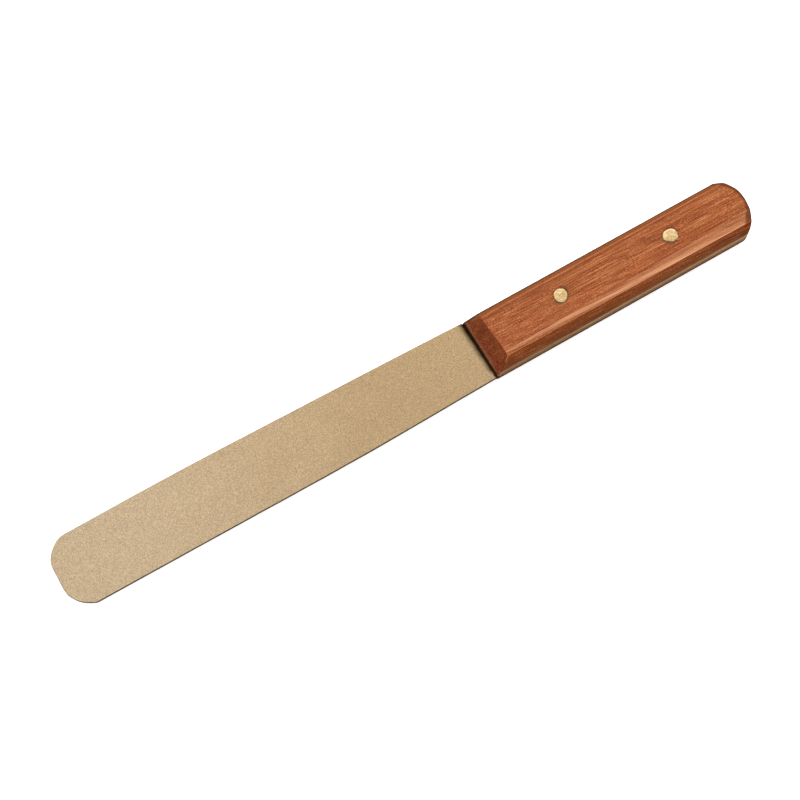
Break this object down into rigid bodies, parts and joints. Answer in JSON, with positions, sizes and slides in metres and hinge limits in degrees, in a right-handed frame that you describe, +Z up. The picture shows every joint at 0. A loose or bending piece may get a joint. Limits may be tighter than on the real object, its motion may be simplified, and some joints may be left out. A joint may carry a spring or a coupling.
{
  "type": "spatula",
  "caption": "Palette-knife style spatula: a long flat bronze blade with rounded corners whose full-width tang is held between two faceted wood scales by peened brass pins.",
  "frame": {"origin": "on the flat underside of the handle, on the tool's centreline, midway between the two pins; this is the face the tool is laid on", "axes": "+X along the tool from the blade's tip towards the rear of the handle, +Y across the blade, +Z up, square to the blade's flat face"},
  "size_m": [0.254, 0.025, 0.0122],
  "materials": {
    "blade_bronze": "matte, fine granular rolled or blasted surface",
    "scale_wood": "reddish-brown straight-grained hardwood, semi-gloss lacquer",
    "pin_brass": "filed flat, fine scratches"
  },
  "bodies": {
    "root": {"blade": "blade_bronze", "handle_scale_upper": "scale_wood", "handle_scale_lower": "scale_wood", "pin_front": "pin_brass", "pin_rear": "pin_brass"}
  },
  "joints": []
}
